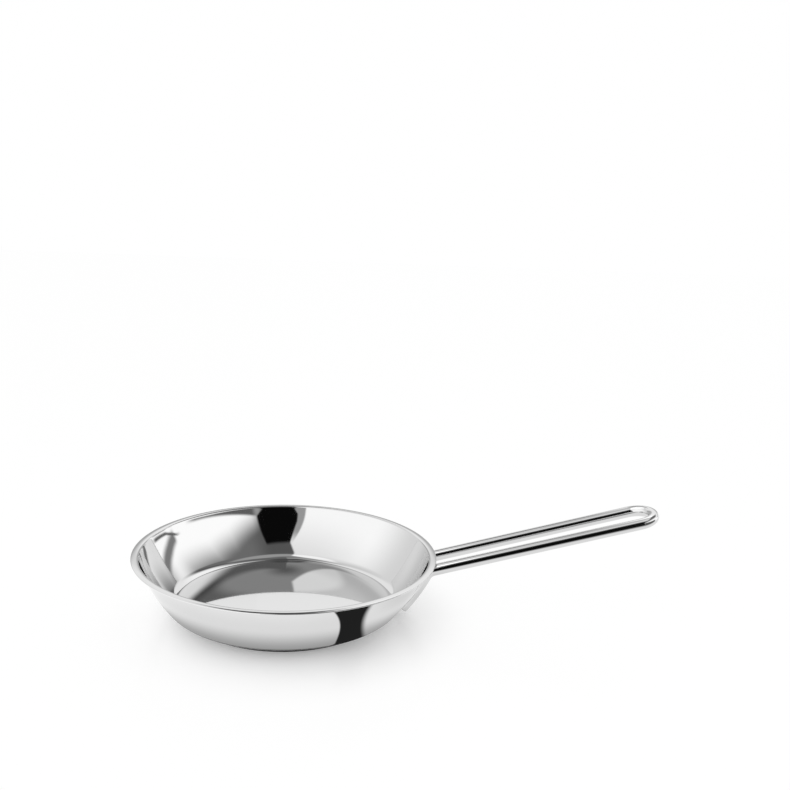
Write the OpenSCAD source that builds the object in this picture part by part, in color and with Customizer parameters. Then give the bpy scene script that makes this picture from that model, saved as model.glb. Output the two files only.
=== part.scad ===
// Frying pan: a drawn steel bowl on a sandwich base, with a handle bent from one round rod.
// Origin: centre of the base, on the table. +X runs along the handle, +Z is up. Millimetres.
//
// Profiles are drawn in the plane of radius and height. A slope is an angle above the
// horizontal, measured along a profile as it runs outwards, so the floor has slope 0.

/* [Bowl] */
// Diameter of the mouth, where the wall turns out into the lip
mouth_d = 199.5; // [160:0.5:240]
// Height of the mouth above the table
mouth_h = 42.8; // [38:0.1:50]
// How far the wall leans out, from the edge of the flat floor to the mouth
wall_spread = 26.75; // [23:0.25:32]
// Radius of the long curve of the wall
wall_r = 120; // [100:1:150]
// Radius of the corner between the floor and the wall
corner_r = 10.5; // [8:0.5:12]
// Thickness of the drawn steel
shell_t = 0.9; // [0.6:0.05:1.2]

/* [Lip] */
// Width of the lip, from the mouth to its outer edge
lip_w = 5.25; // [4:0.05:7]
// Radius of the tight bend on the underside of the lip
lip_bend_r = 0.7; // [0.4:0.05:1]
// Radius of the rounded top of the lip
lip_crown_r = 12; // [10:0.5:20]

/* [Base] */
// Thickness of the aluminium disc that spreads the heat
disc_t = 5.4; // [4:0.1:6.5]
// Thickness of the steel cap that closes the disc in
cap_t = 0.6; // [0.4:0.05:0.8]
// Thickness of the cap's edge, where it is polished down nearly flush with the bowl
cap_edge_t = 0.1; // [0.08:0.01:0.2]
// Radius of the cap's bottom corner
cap_corner_r = 6; // [3:0.5:8]
// Gap between the disc and the side of the cap
disc_gap = 0.2; // [0.1:0.05:0.4]
// Gap that the braze fills, on both sides of the disc and where the cap laps the bowl
braze_gap = 0.05; // [0.03:0.01:0.1]

/* [Handle] */
// Diameter of the steel rod
rod_d = 8; // [6:0.1:9]
// Distance from the middle of the pan to the far end of the handle
handle_reach = 269.5; // [220:0.5:320]
// Drop of the rod's centre line below the mouth, where it passes under the edge of the lip
handle_drop = 9.05; // [8:0.05:11]
// Distance between the two centre lines under the edge of the lip
root_spacing = 24.7; // [20:0.1:30]
// Radius of the centre line around the end of the loop
loop_r = 13.65; // [12:0.05:18]
// Radius of the centre line in the bend beside the wall
bend_r = 8; // [7:0.5:12]
// Depth to which the rod is set down where it is welded along the wall
seat_sink = 0.3; // [0.15:0.05:0.5]
// Gap along the wall between the end of each tail and the cap
tail_gap = 0.75; // [0.5:0.05:1.5]

/* [Hidden] */
$fn = 72;

// Stretches of sheet and of rod lap into each other by this much, and every other one is
// thicker by a step on each side, so that they join as one solid
joint_lap = 0.05;
joint_step = 0.01;
rod_step = 0.02;

// Angles that belong to the shape of the pan
lip_start = 4;
cap_side = 30;
handle_rise = 12.8;

mouth_r = mouth_d / 2;
lip_r = mouth_r + lip_w;
floor_r = mouth_r - wall_spread;
base_h = cap_t + disc_t + 2 * braze_gap;
floor_h = base_h + shell_t;
rod_r = rod_d / 2;
handle_h = mouth_h - handle_drop;

// Direction of a profile at a slope, and the direction square to it that leaves the bowl
function along(slope) = [cos(slope), sin(slope)];
function outward(slope) = [sin(slope), -cos(slope)];

// Angle that an arc turns through over a length
function turn_over(length, radius) = length / radius * 180 / PI;

// The corner arc passes smoothly into the wall arc, which ends at the mouth
corner_c = [floor_r, floor_h + corner_r];
mouth = [mouth_r, mouth_h];
to_mouth = mouth - corner_c;
centre_step = wall_r - corner_r;
wall_start = atan2(to_mouth.y, to_mouth.x)
    + asin((wall_r * wall_r - centre_step * centre_step - to_mouth * to_mouth)
        / (2 * centre_step * norm(to_mouth)));
wall_c = corner_c - centre_step * outward(wall_start);
wall_end = asin((mouth_r - wall_c.x) / wall_r);
wall_outer_r = wall_r + shell_t;
corner_outer_r = corner_r + shell_t;

// The lip turns over a tight bend, then crowns gently down to a rounded edge
lip_bend_top_r = lip_bend_r + shell_t;
lip_bend_c = mouth + lip_bend_top_r * outward(wall_end);
crown_c = lip_bend_c + (lip_crown_r - lip_bend_top_r) * outward(lip_start);
edge_r = shell_t / 2;
lip_end = asin((crown_c.x - (lip_r - edge_r)) / (lip_crown_r - edge_r));
edge_c = crown_c - (lip_crown_r - edge_r) * outward(lip_end);

// The cap's side meets the bowl's corner in a thin edge, and runs straight down from there to
// its own corner
cap_inner_r = corner_outer_r + braze_gap;
cap_edge = corner_c + (cap_inner_r + cap_edge_t) * outward(cap_side);
cap_foot_h = joint_step + cap_corner_r * (1 - cos(cap_side));
cap_foot = cap_edge - (cap_edge.y - cap_foot_h) / sin(cap_side) * along(cap_side);
cap_corner_c = cap_foot - cap_corner_r * outward(cap_side);
base_r = cap_corner_c.x;

// The handle's two strands part slightly from the lip to the end loop
loop_run = (handle_reach - lip_r - rod_r) / cos(handle_rise) - loop_r;
root_half = root_spacing / 2;
strand_turn = asin(loop_r / norm([loop_run, root_half])) - atan2(root_half, loop_run);
splay = atan(tan(strand_turn) / cos(handle_rise));
strand_rise = asin(cos(strand_turn) * sin(handle_rise));
strand_len = sqrt(loop_run * loop_run + root_half * root_half - loop_r * loop_r);

// Each strand, its bend and its tail lie in one upright plane, which passes beside the
// pan's axis. There the wall's section stands in by a little, worked out halfway up.
plane_y = root_half - lip_r * tan(splay);
seat_r = (floor_r + mouth_r) / 2;
seat_y = plane_y + seat_r * tan(splay);
section_in = [seat_r - sqrt(seat_r * seat_r - seat_y * seat_y), 0];

// The tail follows the wall, and runs on below its long curve to just short of the cap
tail_c = wall_c - section_in;
tail_r = wall_outer_r + rod_r - seat_sink;
tail_past = corner_outer_r * (wall_start - cap_side) * PI / 180 - tail_gap;
tail_end = wall_start - turn_over(tail_past, tail_r);

// The bend touches the strand above it and the tail below it
root = [lip_r / cos(splay), handle_h];
bend_line = root + bend_r * outward(strand_rise);
to_bend_line = bend_line - tail_c;
bend_along = to_bend_line * along(strand_rise);
bend_run = sqrt(bend_along * bend_along - to_bend_line * to_bend_line
    + (tail_r + bend_r) * (tail_r + bend_r)) - bend_along;
bend_c = bend_line + bend_run * along(strand_rise);
bend_start = atan2(bend_c.x - tail_c.x, tail_c.y - bend_c.y);
strand_start = root + bend_run * along(strand_rise);
strand_run = strand_len - bend_run;

// Part of a disc about a centre, between two directions up to a half turn apart
module pie(centre, radius, from, to) {
    reach = 2 * radius;
    translate(centre)
        intersection() {
            circle(radius);
            polygon([[0, 0], reach * along(from), reach * along((from + to) / 2), reach * along(to)]);
        }
}

// Part of a ring about a centre, between two directions, running on a little past each
module arc_band(centre, inner_r, outer_r, from, to, past = joint_lap) {
    lap = turn_over(past, outer_r);
    difference() {
        pie(centre, outer_r, from - lap, to + lap);
        translate(centre)
            circle(inner_r);
    }
}

// The same, but a little thicker and ending at the two directions
module thick_band(centre, inner_r, outer_r, from, to) {
    arc_band(centre, inner_r - joint_step, outer_r + joint_step, from, to, 0);
}

// Round rod along an arc in the drawing plane, running on a little past each end
module rod_arc(centre, path_r, from, to, section_r = rod_r, past = joint_lap) {
    lap = turn_over(past, path_r);
    translate(centre)
        rotate([0, 0, from - lap])
            rotate_extrude(angle = to - from + 2 * lap)
                translate([path_r, 0])
                    circle(section_r);
}

// Stands the drawing plane upright at one strand: side is 1 to the left of +X, -1 to the right
module strand_plane(side) {
    translate([0, side * plane_y, 0])
        rotate([90, 0, side * splay])
            children();
}

module pan_shell() {
    color([0.86, 0.87, 0.88])
        rotate_extrude() {
            translate([0, base_h])
                square([floor_r + joint_lap, shell_t]);
            thick_band(corner_c, corner_r, corner_outer_r, -90, wall_start - 90);
            arc_band(wall_c, wall_r, wall_outer_r, wall_start - 90, wall_end - 90);
            thick_band(lip_bend_c, lip_bend_r, lip_bend_top_r, lip_start + 90, wall_end + 90);
            arc_band(crown_c, lip_crown_r - shell_t, lip_crown_r, lip_end + 90, lip_start + 90);
            translate(edge_c)
                circle(edge_r + joint_step);
        }
}

module heat_disc() {
    disc_foot = cap_t + braze_gap;
    disc_top = disc_foot + disc_t;
    side_foot = cap_corner_c + (cap_corner_r - cap_t - disc_gap) * outward(cap_side);
    side_top = side_foot + (disc_top - side_foot.y) / sin(cap_side) * along(cap_side);
    color([0.78, 0.79, 0.80])
        rotate_extrude()
            polygon([
                [0, disc_foot],
                [base_r - disc_gap, disc_foot],
                side_foot,
                side_top,
                [0, disc_top]
            ]);
}

module base_cap() {
    out = joint_step * outward(cap_side);
    in = -(cap_t + joint_step) * outward(cap_side);
    color([0.72, 0.73, 0.74])
        rotate_extrude() {
            square([base_r, cap_t + 2 * joint_step]);
            arc_band(cap_corner_c, cap_corner_r - cap_t, cap_corner_r, -90, cap_side - 90);
            difference() {
                polygon([cap_foot + out, cap_edge + out, cap_edge + in, cap_foot + in]);
                translate(corner_c)
                    circle(cap_inner_r);
            }
        }
}

// One strand with its bend and its tail, in the drawing plane
module strand() {
    thick_r = rod_r + rod_step;
    translate(strand_start)
        rotate([0, 90, strand_rise])
            cylinder(h = strand_run, r = thick_r);
    rod_arc(bend_c, bend_r, strand_rise + 90, bend_start + 90);
    rod_arc(tail_c, tail_r, tail_end - 90, bend_start - 90, thick_r, 0);
}

// What the wall takes up, from well inside the steel to its outer face, carried on down past
// the tails' ends
module wall_space() {
    low_end = tail_end - turn_over(rod_d, wall_r);
    rotate_extrude()
        arc_band(wall_c, wall_r - rod_d, wall_outer_r, low_end - 90, wall_end - 90);
}

module handle_loop() {
    loop_end = 90 + strand_turn;
    color([0.84, 0.85, 0.86])
        difference() {
            union() {
                for (side = [-1, 1])
                    strand_plane(side)
                        strand();
                translate([lip_r, 0, handle_h])
                    rotate([0, -handle_rise, 0])
                        rod_arc([loop_run, 0], loop_r, -loop_end, loop_end);
            }
            wall_space();
        }
}

pan_shell();
heat_disc();
base_cap();
handle_loop();
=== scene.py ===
"""Frying pan in polished steel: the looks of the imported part, its studio and its camera.

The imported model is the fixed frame. The bowl, the base cap and the handle are drawn here
again as smooth surfaces on the same sizes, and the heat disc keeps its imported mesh. Metres.
"""
import math

import bpy
from bpy.props import FloatProperty, FloatVectorProperty, IntProperty, PointerProperty
from bpy.types import Operator, Panel, PropertyGroup
from mathutils import Matrix, Vector


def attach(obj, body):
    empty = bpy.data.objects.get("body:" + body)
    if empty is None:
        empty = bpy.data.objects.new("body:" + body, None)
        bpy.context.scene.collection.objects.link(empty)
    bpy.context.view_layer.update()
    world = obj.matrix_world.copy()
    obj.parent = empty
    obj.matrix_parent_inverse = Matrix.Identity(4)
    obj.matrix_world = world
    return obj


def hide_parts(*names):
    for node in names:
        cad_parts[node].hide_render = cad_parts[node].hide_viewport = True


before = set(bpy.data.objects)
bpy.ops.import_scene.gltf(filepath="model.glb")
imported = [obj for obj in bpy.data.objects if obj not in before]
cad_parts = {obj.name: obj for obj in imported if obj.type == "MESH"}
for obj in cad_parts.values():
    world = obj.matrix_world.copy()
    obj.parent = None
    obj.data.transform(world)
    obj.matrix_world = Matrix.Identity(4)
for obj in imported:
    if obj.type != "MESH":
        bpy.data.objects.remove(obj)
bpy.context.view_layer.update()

bl_info = {
    "name": "Frying pan",
    "version": (1, 0, 0),
    "blender": (4, 5, 0),
    "location": "3D View > Sidebar > Frying pan",
    "description": "Builds a polished steel frying pan and the studio it stands in",
    "category": "Add Mesh",
}


# --- Settings in the panel -----------------------------------------------------------------


def length(name, description, default):
    return FloatProperty(
        name=name, description=description, default=default, min=0.0, unit="LENGTH", precision=5
    )


def angle(name, description, degrees):
    return FloatProperty(
        name=name, description=description, default=math.radians(degrees), subtype="ANGLE"
    )


def count(name, description, default, fewest):
    return IntProperty(name=name, description=description, default=default, min=fewest)


def amount(name, description, default, top=1.0):
    return FloatProperty(name=name, description=description, default=default, min=0.0, max=top)


def colour(name, description, default):
    return FloatVectorProperty(
        name=name, description=description, default=default, min=0.0, max=1.0, subtype="COLOR"
    )


def place(name, description, default):
    return FloatVectorProperty(
        name=name, description=description, default=default, subtype="TRANSLATION", precision=5
    )


class BowlSizes(PropertyGroup):
    """Sizes of the drawn bowl"""

    mouth_diameter: length("Mouth", "Diameter where the wall turns out into the lip", 0.1995)
    mouth_height: length("Mouth height", "Height of the mouth above the table", 0.0428)
    wall_spread: length("Wall spread", "How far the wall leans out from the flat floor", 0.02675)
    wall_radius: length("Wall radius", "Radius of the long curve of the wall", 0.120)
    corner_radius: length("Corner radius", "Radius between the floor and the wall", 0.0105)
    sheet: length("Sheet", "Thickness of the drawn steel", 0.0009)
    lip_width: length("Lip width", "From the mouth to the outer edge of the lip", 0.00525)
    lip_bend: length("Lip bend", "Radius of the tight bend under the lip", 0.0007)
    lip_crown: length("Lip crown", "Radius of the rounded top of the lip", 0.012)
    lip_start: angle("Lip start", "Slope of the lip where it leaves the bend", 4.0)
    segments: count("Segments", "Faces around the spun pieces", 360, 24)


class BaseSizes(PropertyGroup):
    """Sizes of the sandwich base"""

    disc: length("Disc", "Thickness of the aluminium disc", 0.0054)
    cap: length("Cap", "Thickness of the steel cap", 0.0006)
    cap_edge: length("Cap edge", "Thickness left at the cap's polished edge", 0.0001)
    cap_corner: length("Cap corner", "Radius of the cap's bottom corner", 0.006)
    braze: length("Braze", "Gap that the braze fills", 0.00005)
    side: angle("Side", "Slope of the cap's side", 30.0)


class HandleSizes(PropertyGroup):
    """Sizes of the rod and the line that it is bent to"""

    rod: length("Rod", "Diameter of the steel rod", 0.008)
    reach: length("Reach", "From the middle of the pan to the end of the handle", 0.2695)
    drop: length("Drop", "From the mouth down to the centre line under the lip", 0.00905)
    spacing: length("Spacing", "Between the two centre lines under the lip", 0.0247)
    loop: length("Loop", "Radius of the centre line at the end of the loop", 0.01365)
    bend: length("Bend", "Radius of the centre line beside the wall", 0.008)
    sink: length("Seat", "How far the rod is set into its seat along the wall", 0.0003)
    tail_gap: length("Tail gap", "Along the wall from each tail's end to the cap", 0.00075)
    rise: angle("Rise", "Angle of the handle above the table", 12.8)
    chamfer: length("Chamfer", "Width of the broken edge on the cut ends", 0.0004)
    segments: count("Segments", "Faces around the rod", 64, 12)


class SteelLooks(PropertyGroup):
    """Colours and polish of the metals"""

    steel: colour("Steel", "Colour of the polished bowl", (0.70, 0.70, 0.70))
    rod: colour("Rod", "Colour of the polished rod", (0.70, 0.70, 0.70))
    # Darker than the bowl partly for the cap's satin turned steel and partly as painted shade for
    # the dark line where the base meets the table
    cap: colour("Cap", "Colour of the satin base cap", (0.60, 0.60, 0.60))
    disc: colour("Disc", "Colour of the aluminium disc", (0.75, 0.76, 0.78))
    polish: amount("Polish", "Roughness of the mirror finish", 0.035)
    rod_polish: amount("Rod polish", "Roughness of the rod's finish", 0.045)
    cap_turning: amount("Cap turning", "Roughness of the turned base cap", 0.22)
    disc_turning: amount("Disc turning", "Roughness of the turned disc", 0.35)


class StudioLooks(PropertyGroup):
    """The floor, the strip light and the camera"""

    floor: colour("Floor", "Colour of the glossy floor", (0.90, 0.90, 0.90))
    floor_gloss: amount("Floor gloss", "Roughness of the floor's gloss", 0.25)
    shade_reach: length("Shade", "How far from the middle the floor's shade fades out", 0.138)
    strip: amount("Strip light", "Brightness of the strip over the handle", 0.50, 10.0)
    strip_length: length("Strip length", "Length of the strip along the handle", 0.60)
    strip_width: length("Strip width", "Width of the strip across the handle", 0.50)
    strip_place: place("Strip place", "Where the middle of the strip hangs", (0.18, 0.05, 0.45))
    camera_place: place("Camera", "Where the camera stands", (-0.0200187, -0.6405661, 0.2847977))
    camera_turn: FloatVectorProperty(
        name="Camera turn",
        description="Rotation of the camera about X, Y and Z",
        default=tuple(math.radians(a) for a in (78.724403, -2.472017, -7.675484)),
        subtype="EULER",
    )
    camera_lens: FloatProperty(
        name="Lens", description="Focal length in millimetres on a 36 mm sensor", default=43.84
    )


# --- The pan's form, in the plane of radius and height -------------------------------------

# Rings of faces along the flat and the straight stretches, and around the end loop
FLOOR_RINGS = 8
CAP_RINGS = 12
CAP_SIDE_RINGS = 12
STRAND_RINGS = 30
LOOP_RINGS = 72


def along(slope):
    """Direction of a profile at a slope"""
    return Vector((math.cos(slope), math.sin(slope)))


def outward(slope):
    """Direction square to a profile that leaves the bowl"""
    return Vector((math.sin(slope), -math.cos(slope)))


def arc(centre, radius, start, end, step):
    """Points of an arc from one slope to another, about a step of so many degrees apart.

    A negative radius gives an arc that bends the other way."""
    steps = max(2, round(abs(end - start) / math.radians(step)))
    return [centre + radius * outward(start + (end - start) * i / steps) for i in range(steps + 1)]


def flat(reach, height, rings):
    """Points at one height from the axis to just short of a reach"""
    return [Vector((reach * i / rings, height)) for i in range(rings)]


def straight(start, end, steps):
    """Points of a straight line after its start, up to its end"""
    return [start.lerp(end, i / steps) for i in range(1, steps + 1)]


class PanForm:
    """Every centre and angle of the pan, worked out from the sizes in the panel"""

    def __init__(self, scene):
        bowl, base, rod = scene.pan_bowl, scene.pan_base, scene.pan_handle
        self.bowl, self.base, self.rod = bowl, base, rod
        mouth_r = bowl.mouth_diameter / 2
        self.lip_r = mouth_r + bowl.lip_width
        self.floor_r = mouth_r - bowl.wall_spread
        self.base_h = base.cap + base.disc + 2 * base.braze
        self.floor_h = self.base_h + bowl.sheet
        self.mouth = Vector((mouth_r, bowl.mouth_height))
        self.set_wall()
        self.set_lip()
        self.set_cap()
        self.set_strands()
        self.set_tails()
        self.set_bends()

    def set_wall(self):
        """The corner arc passes smoothly into the wall arc, which ends at the mouth"""
        bowl = self.bowl
        self.corner_c = Vector((self.floor_r, self.floor_h + bowl.corner_radius))
        to_mouth = self.mouth - self.corner_c
        step = bowl.wall_radius - bowl.corner_radius
        self.wall_start = math.atan2(to_mouth.y, to_mouth.x) + math.asin(
            (bowl.wall_radius**2 - step**2 - to_mouth.length_squared) / (2 * step * to_mouth.length)
        )
        self.wall_c = self.corner_c - step * outward(self.wall_start)
        self.wall_end = math.asin((self.mouth.x - self.wall_c.x) / bowl.wall_radius)
        self.wall_outer = bowl.wall_radius + bowl.sheet
        self.corner_outer = bowl.corner_radius + bowl.sheet

    def set_lip(self):
        """The lip turns over a tight bend, then crowns gently down to a rounded edge"""
        bowl = self.bowl
        self.bend_top = bowl.lip_bend + bowl.sheet
        self.lip_bend_c = self.mouth + self.bend_top * outward(self.wall_end)
        self.crown_c = self.lip_bend_c + (bowl.lip_crown - self.bend_top) * outward(bowl.lip_start)
        self.edge_r = bowl.sheet / 2
        edge_reach = bowl.lip_crown - self.edge_r
        self.lip_end = math.asin((self.crown_c.x - (self.lip_r - self.edge_r)) / edge_reach)
        self.edge_c = self.crown_c - edge_reach * outward(self.lip_end)

    def set_cap(self):
        """The cap laps the bowl's corner in a thin edge and runs straight down to its own"""
        base = self.base
        self.cap_inner = self.corner_outer + base.braze
        self.cap_edge = self.corner_c + (self.cap_inner + base.cap_edge) * outward(base.side)
        foot_h = base.cap_corner * (1 - math.cos(base.side))
        foot = self.cap_edge - (self.cap_edge.y - foot_h) / math.sin(base.side) * along(base.side)
        self.cap_corner_c = foot - base.cap_corner * outward(base.side)

    def set_strands(self):
        """The two strands part slightly from the lip to the end loop"""
        rod = self.rod
        self.rod_r = rod.rod / 2
        self.rod_h = self.mouth.y - rod.drop
        half = rod.spacing / 2
        self.loop_run = (rod.reach - self.lip_r - self.rod_r) / math.cos(rod.rise) - rod.loop
        to_loop_side = math.asin(rod.loop / math.hypot(self.loop_run, half))
        to_loop_centre = math.atan2(half, self.loop_run)
        self.strand_turn = to_loop_side - to_loop_centre
        self.splay = math.atan(math.tan(self.strand_turn) / math.cos(rod.rise))
        self.strand_rise = math.asin(math.cos(self.strand_turn) * math.sin(rod.rise))
        self.strand_length = math.sqrt(self.loop_run**2 + half**2 - rod.loop**2)
        self.plane_y = half - self.lip_r * math.tan(self.splay)

    def set_tails(self):
        """Each tail follows the wall's section in its strand's upright plane, where it stands
        in by a little, and ends just short of the cap"""
        rod = self.rod
        seat_r = (self.floor_r + self.mouth.x) / 2
        seat_y = self.plane_y + seat_r * math.tan(self.splay)
        section_in = Vector((seat_r - math.sqrt(seat_r**2 - seat_y**2), 0))
        self.tail_c = self.wall_c - section_in
        self.tail_r = self.wall_outer + self.rod_r - rod.sink
        below_wall = self.corner_outer * (self.wall_start - self.base.side) - rod.tail_gap
        self.tail_end = self.wall_start - below_wall / self.tail_r

    def set_bends(self):
        """Each bend touches the strand above it and the tail below it"""
        rod = self.rod
        root = Vector((self.lip_r / math.cos(self.splay), self.rod_h))
        bend_line = root + rod.bend * outward(self.strand_rise)
        away = bend_line - self.tail_c
        back = away.dot(along(self.strand_rise))
        run = math.sqrt(back**2 - away.length_squared + (self.tail_r + rod.bend) ** 2) - back
        self.bend_c = bend_line + run * along(self.strand_rise)
        self.bend_start = math.atan2(
            self.bend_c.x - self.tail_c.x, self.tail_c.y - self.bend_c.y
        )
        self.strand_start = root + run * along(self.strand_rise)
        self.strand_end = self.strand_start + (self.strand_length - run) * along(self.strand_rise)

    def bowl_section(self):
        """The bowl's outline from the axis under the floor, over the lip, back to the axis"""
        bowl = self.bowl
        start, end, lip, edge = self.wall_start, self.wall_end, bowl.lip_start, self.lip_end
        parts = [
            flat(self.floor_r, self.base_h, FLOOR_RINGS),
            arc(self.corner_c, self.corner_outer, 0, start, step=2),
            arc(self.wall_c, self.wall_outer, start, end, step=0.5)[1:],
            arc(self.lip_bend_c, -bowl.lip_bend, end, lip, step=5)[1:],
            arc(self.crown_c, bowl.sheet - bowl.lip_crown, lip, edge, step=2.5)[1:],
            arc(self.edge_c, self.edge_r, edge, edge + math.pi, step=15)[1:],
            arc(self.crown_c, -bowl.lip_crown, edge, lip, step=1.5)[1:],
            arc(self.lip_bend_c, -self.bend_top, lip, end, step=4)[1:],
            arc(self.wall_c, bowl.wall_radius, end, start, step=0.4)[1:],
            arc(self.corner_c, bowl.corner_radius, start, 0, step=1)[1:],
            flat(self.floor_r, self.floor_h, FLOOR_RINGS)[::-1],
        ]
        return [point for part in parts for point in part]

    def cap_section(self):
        """The cap's outline from the axis under the base, over the lap's edge, back to the axis"""
        base = self.base
        centre = self.cap_corner_c
        run_out = math.acos((self.cap_inner + base.cap_edge - base.cap) / self.cap_inner)
        corner = arc(centre, base.cap_corner, 0, base.side, step=1.5)
        parts = [
            flat(centre.x, 0, CAP_RINGS),
            corner,
            straight(corner[-1], self.cap_edge, CAP_SIDE_RINGS),
            arc(self.corner_c, self.cap_inner, base.side, base.side - run_out, step=1),
            arc(centre, base.cap_corner - base.cap, base.side, 0, step=3),
            flat(centre.x, base.cap, CAP_RINGS)[::-1],
        ]
        return [point for part in parts for point in part]

    def strand_point(self, side, point):
        """Stands a point of a strand's drawing plane upright at one side of the handle"""
        turn = side * self.splay
        return Vector(
            (point.x * math.cos(turn), side * self.plane_y + point.x * math.sin(turn), point.y)
        )

    def loop_line(self):
        """The centre line around the end loop, between the ends of the two strands"""
        rod = self.rod
        half_loop = math.pi / 2 + self.strand_turn
        lift = Matrix.Rotation(-rod.rise, 3, "Y")
        root = Vector((self.lip_r, 0, self.rod_h))
        turns = [half_loop * (1 - 2 * i / LOOP_RINGS) for i in range(1, LOOP_RINGS)]
        level = [
            Vector((self.loop_run + rod.loop * math.cos(turn), rod.loop * math.sin(turn), 0))
            for turn in turns
        ]
        return [root + lift @ point for point in level]

    def rod_line(self):
        """The rod's centre line from one cut end round the loop to the other"""
        tail = arc(self.tail_c, self.tail_r, self.tail_end, self.bend_start, step=0.25)
        bend = arc(self.bend_c, -self.rod.bend, self.bend_start, self.strand_rise, step=2.5)[1:]
        strand = straight(self.strand_start, self.strand_end, STRAND_RINGS)
        left = [self.strand_point(1, point) for point in tail + bend + strand]
        right = [self.strand_point(-1, point) for point in tail + bend + strand]
        return left + self.loop_line() + right[::-1]


# --- Meshes --------------------------------------------------------------------------------

# Share of the rod's texture space that each of its cut ends takes
CUT_END_SHARE = 0.02


def new_piece(name, vertices, faces, uvs):
    """A smooth mesh object; uvs has one pair for each corner, in the faces' order"""
    mesh = bpy.data.meshes.new(name)
    mesh.from_pydata(vertices, [], faces)
    layer = mesh.uv_layers.new(name="OFBake")
    layer.data.foreach_set("uv", [value for pair in uvs for value in pair])
    mesh.polygons.foreach_set("use_smooth", [True] * len(mesh.polygons))
    mesh.validate()
    mesh.update()
    piece = bpy.data.objects.new(name, mesh)
    bpy.context.scene.collection.objects.link(piece)
    return piece


def uv_square(left, right, low, high):
    return [(left, low), (right, low), (right, high), (left, high)]


def spin(name, section, segments):
    """Turns an outline that starts and ends on the axis about the axis"""
    inner = section[1:-1]
    rings = len(inner)
    turns = [2 * math.pi * i / segments for i in range(segments)]
    vertices = [(p.x * math.cos(t), p.x * math.sin(t), p.y) for t in turns for p in inner]
    first_pole, last_pole = len(vertices), len(vertices) + 1
    vertices += [(0, 0, section[0].y), (0, 0, section[-1].y)]
    run = [0.0]
    for a, b in zip(section, section[1:]):
        run.append(run[-1] + (b - a).length)
    run = [distance / run[-1] for distance in run]
    faces, uvs = [], []
    for i in range(segments):
        here, there = i * rings, (i + 1) % segments * rings
        left, right = i / segments, (i + 1) / segments
        middle = (left + right) / 2
        faces.append((first_pole, there, here))
        uvs += [(middle, 0), (right, run[1]), (left, run[1])]
        for j in range(rings - 1):
            faces.append((here + j, there + j, there + j + 1, here + j + 1))
            uvs += uv_square(left, right, run[j + 1], run[j + 2])
        faces.append((last_pole, here + rings - 1, there + rings - 1))
        uvs += [(middle, 1), (left, run[-2]), (right, run[-2])]
    return new_piece(name, vertices, faces, uvs)


def rod_rings(line, radius, chamfer):
    """The rings of a rod along a line, each with its middle, its radius and two directions
    square to the line; the cut ends are lightly broken at the edge"""
    steps = [(b - a).normalized() for a, b in zip(line, line[1:])]
    between = [(a + b).normalized() for a, b in zip(steps, steps[1:])]
    tangents = [steps[0], *between, steps[-1]]
    side = tangents[0].orthogonal().normalized()
    rings = []
    for point, tangent in zip(line, tangents):
        side = (side - side.dot(tangent) * tangent).normalized()
        rings.append((point, radius, side.copy(), tangent.cross(side)))
    for end, inward in ((0, 1), (-1, -1)):
        point, _, across, up = rings[end]
        rings[end] = (point + inward * chamfer * tangents[end], radius, across, up)
        rings.insert(0 if end == 0 else len(rings), (point, radius - chamfer, across, up))
    return rings


def sweep(name, line, radius, chamfer, segments):
    """A round rod along a line, closed at both cut ends"""
    rings = rod_rings(line, radius, chamfer)
    vertices, faces, uvs = [], [], []
    for point, r, across, up in rings:
        for k in range(segments):
            turn = 2 * math.pi * k / segments
            vertices.append(point + r * (math.cos(turn) * across + math.sin(turn) * up))
    first_pole, last_pole = len(vertices), len(vertices) + 1
    vertices += [line[0], line[-1]]
    last = len(rings) - 1
    heights = [CUT_END_SHARE + (1 - 2 * CUT_END_SHARE) * j / last for j in range(last + 1)]
    around = [(k, (k + 1) % segments, k / segments, (k + 1) / segments) for k in range(segments)]
    for j in range(last):
        here, there = j * segments, (j + 1) * segments
        for k, following, left, right in around:
            faces.append((here + k, here + following, there + following, there + k))
            uvs += uv_square(left, right, heights[j], heights[j + 1])
    end = last * segments
    for k, following, left, right in around:
        middle = (left + right) / 2
        faces.append((first_pole, following, k))
        uvs += [(middle, 0), (right, heights[0]), (left, heights[0])]
        faces.append((last_pole, end + k, end + following))
        uvs += [(middle, 1), (left, heights[-1]), (right, heights[-1])]
    return new_piece(name, vertices, faces, uvs)


# --- Shader maths --------------------------------------------------------------------------


class Signal:
    """One output of a node; arithmetic on it adds Math nodes"""

    def __init__(self, shader, socket):
        self.shader, self.socket = shader, socket

    def math(self, operation, *values):
        return self.shader.add("ShaderNodeMath", {"operation": operation}, dict(enumerate(values)))

    def __add__(self, other):
        return self.math("ADD", self, other)

    def __sub__(self, other):
        return self.math("SUBTRACT", self, other)

    def __rsub__(self, other):
        return self.math("SUBTRACT", other, self)

    def __mul__(self, other):
        return self.math("MULTIPLY", self, other)

    def __truediv__(self, other):
        return self.math("DIVIDE", self, other)

    def __rtruediv__(self, other):
        return self.math("DIVIDE", other, self)

    def __pow__(self, other):
        return self.math("POWER", self, other)

    def __rpow__(self, other):
        return self.math("POWER", other, self)

    __radd__ = __add__
    __rmul__ = __mul__


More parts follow.
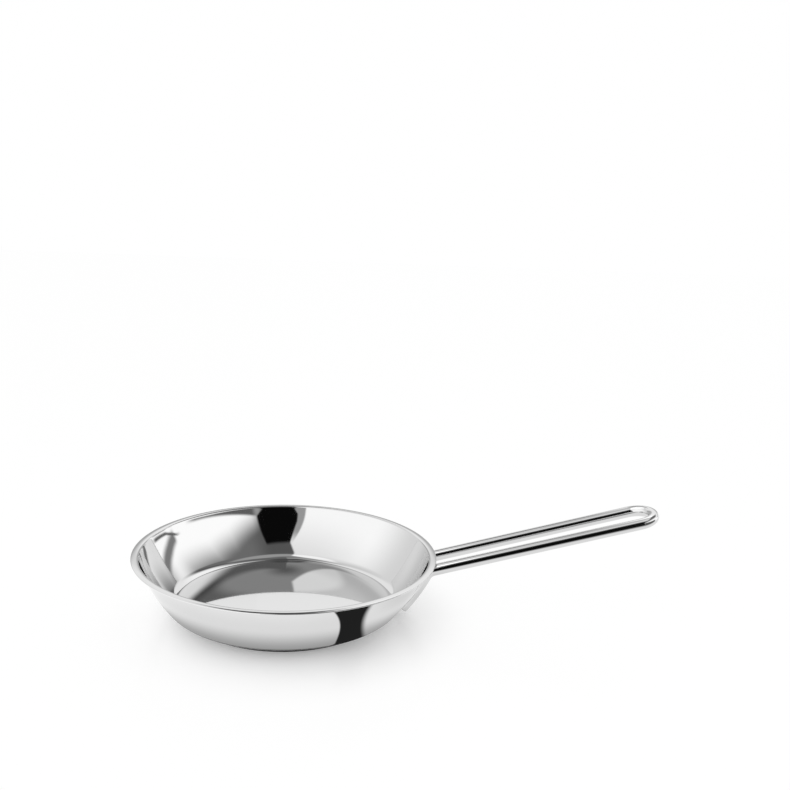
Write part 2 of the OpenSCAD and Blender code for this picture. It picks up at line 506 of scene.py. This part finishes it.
class Shader:
    """The node tree of one material or of the world"""

    def __init__(self, owner):
        owner.use_nodes = True
        self.tree = owner.node_tree
        self.tree.nodes.clear()

    def add(self, kind, settings=None, inputs=None, output=0):
        """Adds a node, makes its settings, fills or links its inputs, and gives one output"""
        node = self.tree.nodes.new(kind)
        for key, value in (settings or {}).items():
            setattr(node, key, value)
        for key, value in (inputs or {}).items():
            if isinstance(value, Signal):
                self.tree.links.new(value.socket, node.inputs[key])
            else:
                node.inputs[key].default_value = value
        return Signal(self, node.outputs[output]) if node.outputs else None

    def split(self, vector):
        """The three parts of a vector"""
        outputs = self.add("ShaderNodeSeparateXYZ", inputs={0: vector}).socket.node.outputs
        return [Signal(self, outputs[i]) for i in range(3)]

    def join(self, x, y, z):
        return self.add("ShaderNodeCombineXYZ", inputs={0: x, 1: y, 2: z})

    def noise(self, vector, scale, detail, roughness):
        inputs = {"Vector": vector, "Scale": scale, "Detail": detail, "Roughness": roughness}
        return self.add("ShaderNodeTexNoise", inputs=inputs)

    def mix_colour(self, factor, first, second):
        """Mixes two colours, by the Mix node's colour sockets"""
        inputs = {0: factor, 6: (*first, 1), 7: (*second, 1)}
        return self.add("ShaderNodeMix", {"data_type": "RGBA"}, inputs, output=2)

    def mix_surface(self, factor, first, second):
        """Goes from one surface to another as the factor goes from 0 to 1"""
        return self.add("ShaderNodeMixShader", inputs={0: factor, 1: first, 2: second})

    def glow(self, **inputs):
        return self.add("ShaderNodeEmission", inputs=inputs)

    def ray(self, kind):
        """1 for rays of one kind, and 0 for all others"""
        return self.add("ShaderNodeLightPath", output=kind)

    def place_on_piece(self):
        return self.add("ShaderNodeTexCoord", output="Object")

    def finish(self, surface, kind="ShaderNodeOutputMaterial"):
        self.add(kind, inputs={"Surface": surface})


def fade(signal, start, end):
    """Rises smoothly from 0 to 1 as the signal goes from start to end"""
    return signal.shader.add(
        "ShaderNodeMapRange",
        {"interpolation_type": "SMOOTHSTEP"},
        {"Value": signal, "From Min": start, "From Max": end},
    )


def blend(mask, below, above):
    """Goes from below to above as the mask goes from 0 to 1"""
    return below + (above - below) * mask


def greater(signal, other):
    return signal.math("MAXIMUM", signal, other)


def past(signal, limit):
    """How far a signal is past a limit, or 0"""
    return greater(signal - limit, 0.0)


def short_of(signal, limit):
    """How far a signal is short of a limit, or 0"""
    return greater(limit - signal, 0.0)


def from_axis(x, y):
    """Distance from the pan's axis"""
    return (x * x + y * y) ** 0.5


# Degrees in a radian
DEGREES = math.degrees(1.0)


def turn_about_axis(x, y):
    """Degrees round from the camera's side of the pan, growing to the right"""
    return x.math("ARCTAN2", x, 0.0 - y) * DEGREES


# --- Metals --------------------------------------------------------------------------------


def polished_rings(x, y, z):
    """Rings round the axis that differ with height, as a polishing wheel leaves them"""
    return from_axis(x, y), 0.0, z


def turned_rings(x, y, z):
    """Rings round the axis alone, as a lathe leaves them"""
    return from_axis(x, y), 0.0, 0.0


def drawn_lines(x, y, z):
    """Long lines along the handle, as the drawing of the rod leaves them"""
    stretch = 0.03
    return x * stretch, y, z


# Each finish has the lay of its tool marks, their scale, detail and grain, and the scale of
# the haze. Roughness has an even share, one that follows the haze and one that follows the
# marks. Relief is the marks' strength and depth. Dull is the colour left where a metal is
# dullest, which is in the haze, or in the marks of turned metal.
MIRROR = {
    "lay": polished_rings,
    "marks": (2600.0, 3.0, 0.6),
    "haze_scale": 22.0,
    "shares": (0.7, 0.5, 0.25),
    "relief": (0.08, 0.00002),
    "dull": 0.97,
}
DRAWN = {
    "lay": drawn_lines,
    "marks": (2200.0, 2.0, 0.6),
    "haze_scale": 40.0,
    "shares": (0.7, 0.4, 0.4),
    "relief": (0.08, 0.00002),
    "dull": 0.97,
}
TURNED = {
    "lay": turned_rings,
    "marks": (1800.0, 3.0, 0.7),
    "haze_scale": 30.0,
    "shares": (0.75, 0.3, 0.3),
    "relief": (0.3, 0.00004),
    "dull": 0.93,
    "dull_in_marks": True,
}
HAZE_DETAIL, HAZE_GRAIN = 3.0, 0.55


def metal(
    name, tint, roughness, *, lay, marks, haze_scale, shares, relief, dull, dull_in_marks=False
):
    """Bare metal of one colour, with the tool marks and the haze of its finish"""
    material = bpy.data.materials.new(name)
    shader = Shader(material)
    place_on_piece = shader.place_on_piece()
    lay_of_marks = shader.join(*lay(*shader.split(place_on_piece)))
    mark = shader.noise(lay_of_marks, *marks)
    haze = shader.noise(place_on_piece, haze_scale, HAZE_DETAIL, HAZE_GRAIN)
    even, hazy, marked = shares
    strength, depth = relief
    dulled = [channel * dull for channel in tint]
    bump = {"Strength": strength, "Distance": depth, "Height": mark}
    inputs = {
        "Metallic": 1.0,
        "Base Color": shader.mix_colour(mark if dull_in_marks else haze, tint, dulled),
        "Roughness": roughness * (even + hazy * haze + marked * mark),
        "Normal": shader.add("ShaderNodeBump", inputs=bump),
    }
    shader.finish(shader.add("ShaderNodeBsdfPrincipled", inputs=inputs))
    return material


def dress(piece, material):
    piece.data.materials.clear()
    piece.data.materials.append(material)


# --- The room that the steel reflects ------------------------------------------------------
#
# Polished steel shows the room round it, so the room is drawn by direction. Turn is 0 on the
# camera's side of the pan and grows to the right, up to 180 behind the pan. Rise is the
# height over the table. Both are in degrees. The brightness of white is 1.

CEILING, CEILING_LOW, CEILING_RIGHT_LOSS = 0.42, 0.20, 0.6
CEILING_OVERHEAD, CEILING_OVER_WINDOW = 0.17, 0.12

SIDE_PANEL, SIDE_PANEL_END = 1.40, 0.92
PANEL_GAP, UNDER_BAND, BAND, THIN_LINE = 0.15, 1.37, 0.27, 0.16

BACKDROP_FOOT, BACKDROP, BACKDROP_HIGH = 0.55, 1.1, 1.28
LEFT_BACKDROP_FOOT, LEFT_BACKDROP = 0.5, 1.08

OVERHEAD, OVERHEAD_HIGH_LOSS, OVERHEAD_TOP_GAIN = 1.34, 0.32, 0.26
OVERHEAD_BACK_LOSS, OVERHEAD_BACK_EASE = 0.42, 0.22
OVERHEAD_END_FOOT, OVERHEAD_END = 0.6, 1.05

OPENING, SLIVER, WINDOW = 0.08, 0.43, 0.004


class Direction:
    """A direction from the pan, with its turn and its rise"""

    def __init__(self, shader):
        self.x, self.y, self.z = shader.split(shader.add("ShaderNodeTexCoord", output="Generated"))
        self.turn = turn_about_axis(self.x, self.y)
        self.rise = self.z.math("ARCSINE", self.z) * DEGREES


def dim_ceiling(way):
    """Grey above, darker low down, straight up, on the far right and over the window"""
    high = fade(way.rise, 58, 66)
    far_right = fade(way.turn, 100, 128)
    ceiling = blend(high, CEILING_LOW, CEILING) * (1 - CEILING_RIGHT_LOSS * far_right)
    ceiling = blend(fade(way.rise, 79, 90), ceiling, CEILING_OVERHEAD)
    over_window = fade(way.turn, 45, 15) * fade(way.rise, 62, 56)
    return blend(over_window, ceiling, CEILING_OVER_WINDOW)


def side_panel(room, way):
    """The soft panel on the right, lower towards both ends, and its dimmer far end"""
    far_end = fade(way.rise, 42, 24) * fade(way.turn, 106, 124)
    room = blend(far_end, room, SIDE_PANEL_END)
    bowed_rise = way.rise + 0.25 * short_of(way.turn, 55) + 0.34 * past(way.turn, 78)
    return blend(fade(bowed_rise, 49, 28) * fade(way.turn, 18, 32), room, SIDE_PANEL)


def right_backdrop(room, way):
    """The pale backdrop behind the pan, right of the middle"""
    low = blend(fade(way.rise, 15, 24.5), BACKDROP_FOOT, BACKDROP)
    backdrop = blend(fade(way.rise, 28, 44), low, BACKDROP_HIGH)
    return blend(fade(way.turn, 118, 140) * fade(way.rise, 66, 50), room, backdrop)


def overhead_panel(room, way):
    """The large soft panel over the left, with a rounded edge overhead"""
    height = greater(way.z, 0.1)
    across, ahead = way.x / height, way.y / height
    # As on a flat ceiling, the edge runs in three straight stretches
    edge = (
        -0.069
        - 0.39 * past(ahead, -0.24)
        - 0.2 * short_of(ahead, -0.24)
        + 0.45 * short_of(ahead, -0.65)
    )
    high, top = fade(way.rise, 24, 64), fade(way.rise, 63, 68)
    panel = OVERHEAD - OVERHEAD_HIGH_LOSS * high + OVERHEAD_TOP_GAIN * top
    back_loss = OVERHEAD_BACK_LOSS - OVERHEAD_BACK_EASE * high
    panel = panel - back_loss * fade(way.turn, -85, -132)
    far_end = blend(fade(way.rise, 8, 28), OVERHEAD_END_FOOT, OVERHEAD_END)
    panel = panel * blend(fade(way.turn, -150, -175), 1.0, far_end)
    return blend(fade(across - edge, 0.02, -0.02), room, panel)


def left_backdrop(room, way):
    """The pale backdrop behind the pan, left of the middle"""
    backdrop = blend(fade(way.rise, 15, 24.5), LEFT_BACKDROP_FOOT, LEFT_BACKDROP)
    return blend(fade(way.turn, -136, -152) * fade(way.rise, 70, 54), room, backdrop)


def panel_gap(room, way):
    """The dark gap under the side panel, and where it ends, a dark band and a thin line that
    meet in a point"""
    turn, rise = way.turn, way.rise
    under_panel = rise - 15.0 - 0.22 * short_of(turn, 88)
    gap = fade(turn, 20, 30) * fade(turn, 92, 80) * fade(under_panel, 1.2, -1.0)
    room = blend(gap, room, PANEL_GAP)
    over_band = rise - 13.1 + 0.1 * past(turn, 118)
    under_band = fade(turn, 108, 114) * fade(turn, 142, 134) * fade(over_band, 0, -2)
    room = blend(under_band, room, UNDER_BAND)
    band_length = fade(turn, 104, 108) * fade(turn, 136, 131)
    band = band_length * fade(over_band, -4.2, -0.8) * fade(over_band, 4.2, 1)
    room = blend(band, room, BAND)
    over_line = rise - 8.2 + 0.34 * (turn - 114)
    over_line = over_line - 0.2 * short_of(turn, 114) + 0.25 * short_of(turn, 103)
    line_width = fade(over_line, -1.2, -0.2) * fade(over_line, 1.0, 0.2)
    line = line_width * fade(turn, 98, 106) * fade(turn, 133, 127)
    return blend(line, room, THIN_LINE)


def dark_opening(room, way):
    """The dark opening high behind the pan, which draws a dark line along the lip's front"""
    to_either_side = greater(way.turn, 0 - way.turn)
    behind = fade(to_either_side, 166, 173)
    return blend(behind * fade(way.rise, 33, 41) * fade(way.rise, 78, 66), room, OPENING)


def dark_window(room, way):
    """The dark window in front between the panels, with a grey sliver on its left"""
    turn, rise = way.turn, way.rise
    lean = 0.0208 * past(rise, 28) ** 2.0
    sliver = fade(turn - lean, -19.5, -17.5) * fade(turn, 2, -4) * fade(rise, 52, 40)
    room = blend(sliver, room, SLIVER)
    corner = short_of(rise, 29)
    left_side = fade(turn - 0.35 * past(rise, 34) - 0.9 * corner, -12.6, -11)
    right_side = fade(turn + 0.45 * lean + 1.3 * corner, 26.8, 24.6)
    sill = fade(turn, -12.6, -11) * fade(turn, 26.8, 24.6) * fade(rise, 20, 17)
    window = greater(left_side * right_side, sill)
    return blend(window * fade(rise, 51, 48), room, WINDOW)


# Each of these stands in front of the ones before it
ROOM_PARTS = (
    side_panel,
    right_backdrop,
    overhead_panel,
    left_backdrop,
    panel_gap,
    dark_opening,
    dark_window,
)


def room_light(shader):
    """The room round the pan, by direction"""
    way = Direction(shader)
    room = dim_ceiling(way)
    for part in ROOM_PARTS:
        room = part(room, way)
    return room


# --- The table -----------------------------------------------------------------------------
#
# Places are in metres from the pan's axis. The brightness of white is 1. Polished metal sees a
# painted table that glows, with painted shade near the pan and towards the front.

# Painted shade: the table is dimmer close to the pan, and painted light makes it brighter further
# out
TABLE_NEAR, TABLE, TABLE_FAR_GAIN = 0.42, 1.0, 0.25
# Painted shade towards the front, on the right
TABLE_FRONT, TABLE_FAR_FRONT = 0.35, 0.03
# Light left in the painted contact shadow under the base's edge, and in the painted shade on the
# handle's side
CONTACT_SHARE, HANDLE_SIDE_SHARE = 0.05, 0.8
# A painted dark patch on the table that only the metal sees, a painted reflection
PAINTED_DARK_PATCH, DARK_PATCH_WAIST = 0.02, 0.094
# How the painted dark patch's two sides curve, in degrees for each square metre
DARK_PATCH_LEFT_CURVE, DARK_PATCH_RIGHT_CURVE = 8000, 9500

FLOOR_HALF = 4.0
FLOOR_WHITE, FLOOR_LIFT = 1.005, 0.31
FULL_SHADE_RADIUS, FAR_SHADE_SHARE = 0.066, 0.12


def table_light(shader):
    """The table as polished metal sees it, a painted glow: pale, with painted shade close to the
    pan and towards the front, and a waisted painted dark patch in front of the pan on the right"""
    x, y, _ = shader.split(shader.place_on_piece())
    distance = from_axis(x, y)
    # Painted shade close to the pan, painted light further out
    table = blend(fade(distance, 0.076, 0.097), TABLE_NEAR, TABLE)
    table = table + TABLE_FAR_GAIN * fade(distance, 0.095, 0.14)
    # Painted contact shadow under the base's edge
    table = table * blend(fade(distance, 0.0715, 0.076), CONTACT_SHARE, 1.0)
    # Painted shade on the handle's side
    table = table * blend(fade(x, 0.07, 0.11), 1.0, HANDLE_SIDE_SHARE)
    # Painted shade towards the front on the right
    right_half = fade(x, 0.0, 0.1)
    table = blend(right_half * fade(y, -0.08, -0.20), table, TABLE_FRONT)
    table = blend(right_half * fade(y, -0.20, -0.42), table, TABLE_FAR_FRONT)
    # The painted dark patch, waisted, in front of the pan on the right
    turn = turn_about_axis(x, y)
    from_waist = (distance - DARK_PATCH_WAIST) * (distance - DARK_PATCH_WAIST)
    left_side = fade(turn + DARK_PATCH_LEFT_CURVE * from_waist, 25.8, 27.0)
    right_side = fade(turn - DARK_PATCH_RIGHT_CURVE * from_waist, 43.5, 38.5)
    return blend(left_side * right_side * fade(distance, 0.125, 0.119), table, PAINTED_DARK_PATCH)


def glossy_floor(studio):
    """White to the camera, with the pan's shade near the pan, plain to other light, and for
    polished metal the painted table, a glow with painted shade and a painted dark patch"""
    material = bpy.data.materials.new("floor_gloss")
    shader = Shader(material)
    x, y, _ = shader.split(shader.place_on_piece())
    inputs = {"Base Color": (*studio.floor, 1), "Roughness": studio.floor_gloss}
    gloss = shader.add("ShaderNodeBsdfPrincipled", inputs=inputs)
    lift = shader.glow(Strength=FLOOR_LIFT)
    shaded = shader.add("ShaderNodeAddShader", inputs={0: gloss, 1: lift})
    white = shader.glow(Strength=FLOOR_WHITE)
    close = fade(from_axis(x, y), studio.shade_reach, FULL_SHADE_RADIUS)
    shade_share = blend(close, FAR_SHADE_SHARE, 1.0)
    seen = shader.mix_surface(shade_share, white, shaded)
    # A glow with painted shade and a painted dark patch, for polished metal alone
    table = shader.glow(Color=table_light(shader))
    unmirrored = shader.mix_surface(shader.ray("Is Camera Ray"), gloss, seen)
    shader.finish(shader.mix_surface(shader.ray("Is Glossy Ray"), unmirrored, table))
    return material


# --- Operators -----------------------------------------------------------------------------

# Width of the camera's sensor in millimetres
SENSOR_WIDTH = 36


class PAN_OT_bowl(Operator):
    """Spin the drawn bowl with its turned-out lip"""

    bl_idname = "pan.build_bowl"
    bl_label = "Bowl"

    def execute(self, context):
        form = PanForm(context.scene)
        looks = context.scene.pan_looks
        bowl = spin("bowl", form.bowl_section(), form.bowl.segments)
        dress(bowl, metal("polished_steel", looks.steel, looks.polish, **MIRROR))
        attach(bowl, "root")
        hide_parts("pan_shell")
        return {"FINISHED"}


class PAN_OT_base(Operator):
    """Spin the steel cap of the base and finish the aluminium disc inside it"""

    bl_idname = "pan.build_base"
    bl_label = "Base"

    def execute(self, context):
        form = PanForm(context.scene)
        looks = context.scene.pan_looks
        cap = spin("cap", form.cap_section(), form.bowl.segments)
        dress(cap, metal("cap_steel", looks.cap, looks.cap_turning, **TURNED))
        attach(cap, "root")
        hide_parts("base_cap")
        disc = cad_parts["heat_disc"]
        dress(disc, metal("disc_aluminium", looks.disc, looks.disc_turning, **TURNED))
        return {"FINISHED"}


class PAN_OT_handle(Operator):
    """Bend the handle from one round rod"""

    bl_idname = "pan.build_handle"
    bl_label = "Handle"

    def execute(self, context):
        form = PanForm(context.scene)
        looks = context.scene.pan_looks
        rod = form.rod
        handle = sweep("handle", form.rod_line(), form.rod_r, rod.chamfer, rod.segments)
        dress(handle, metal("rod_steel", looks.rod, looks.rod_polish, **DRAWN))
        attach(handle, "root")
        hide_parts("handle_loop")
        return {"FINISHED"}


class PAN_OT_studio(Operator):
    """Lay the pale glossy floor, set the lights and place the camera"""

    bl_idname = "pan.build_studio"
    bl_label = "Studio"

    def execute(self, context):
        studio = context.scene.pan_studio
        self.lay_floor(context, studio)
        self.light_room(context)
        self.hang_strip(context, studio)
        self.place_camera(context, studio)
        context.scene.view_settings.view_transform = "Standard"
        return {"FINISHED"}

    def lay_floor(self, context, studio):
        mesh = bpy.data.meshes.new("floor")
        corners = [(-1, -1), (1, -1), (1, 1), (-1, 1)]
        vertices = [(x * FLOOR_HALF, y * FLOOR_HALF, 0) for x, y in corners]
        mesh.from_pydata(vertices, [], [(0, 1, 2, 3)])
        floor = bpy.data.objects.new("floor", mesh)
        context.scene.collection.objects.link(floor)
        dress(floor, glossy_floor(studio))

    def light_room(self, context):
        """White to the camera, and the room to all else"""
        world = bpy.data.worlds.new("studio")
        context.scene.world = world
        shader = Shader(world)
        light = blend(shader.ray("Is Camera Ray"), room_light(shader), 1.0)
        background = shader.add("ShaderNodeBackground", inputs={"Color": light})
        shader.finish(background, "ShaderNodeOutputWorld")

    def hang_strip(self, context, studio):
        """A soft light over the handle, for the handle alone"""
        data = bpy.data.lights.new("strip", "AREA")
        data.shape = "RECTANGLE"
        data.size, data.size_y = studio.strip_length, studio.strip_width
        data.energy = studio.strip * math.pi * data.size * data.size_y
        strip = bpy.data.objects.new("strip", data)
        strip.location = studio.strip_place
        strip.visible_camera = False
        context.scene.collection.objects.link(strip)
        lit = bpy.data.collections.new("lit_by_strip")
        lit.objects.link(bpy.data.objects["handle"])
        strip.light_linking.receiver_collection = lit

    def place_camera(self, context, studio):
        data = bpy.data.cameras.new("camera")
        data.sensor_width = SENSOR_WIDTH
        data.lens = studio.camera_lens
        camera = bpy.data.objects.new("camera", data)
        camera.location = studio.camera_place
        camera.rotation_euler = studio.camera_turn
        context.scene.collection.objects.link(camera)
        context.scene.camera = camera


class VIEW3D_PT_pan(Panel):
    """Sizes and looks of the frying pan"""

    bl_label = "Frying pan"
    bl_idname = "VIEW3D_PT_pan"
    bl_space_type = "VIEW_3D"
    bl_region_type = "UI"
    bl_category = "Frying pan"

    def draw(self, context):
        for key, settings, operators in GROUPS:
            box = self.layout.box()
            for setting in settings.__annotations__:
                box.prop(getattr(context.scene, key), setting)
            for operator in operators:
                box.operator(operator.bl_idname)


# The settings in the panel, and what each group of them builds
GROUPS = (
    ("pan_bowl", BowlSizes, (PAN_OT_bowl,)),
    ("pan_base", BaseSizes, (PAN_OT_base,)),
    ("pan_handle", HandleSizes, (PAN_OT_handle,)),
    ("pan_looks", SteelLooks, ()),
    ("pan_studio", StudioLooks, (PAN_OT_studio,)),
)
CLASSES = (
    *(settings for _, settings, _ in GROUPS),
    *(operator for _, _, operators in GROUPS for operator in operators),
    VIEW3D_PT_pan,
)


def register():
    for cls in CLASSES:
        bpy.utils.register_class(cls)
    for key, settings, _ in GROUPS:
        setattr(bpy.types.Scene, key, PointerProperty(type=settings))


def unregister():
    for key, _, _ in GROUPS:
        delattr(bpy.types.Scene, key)
    for cls in reversed(CLASSES):
        bpy.utils.unregister_class(cls)


def main():
    register()
    bpy.ops.pan.build_bowl()
    bpy.ops.pan.build_base()
    bpy.ops.pan.build_handle()
    bpy.ops.pan.build_studio()


if __name__ == "__main__":
    main()
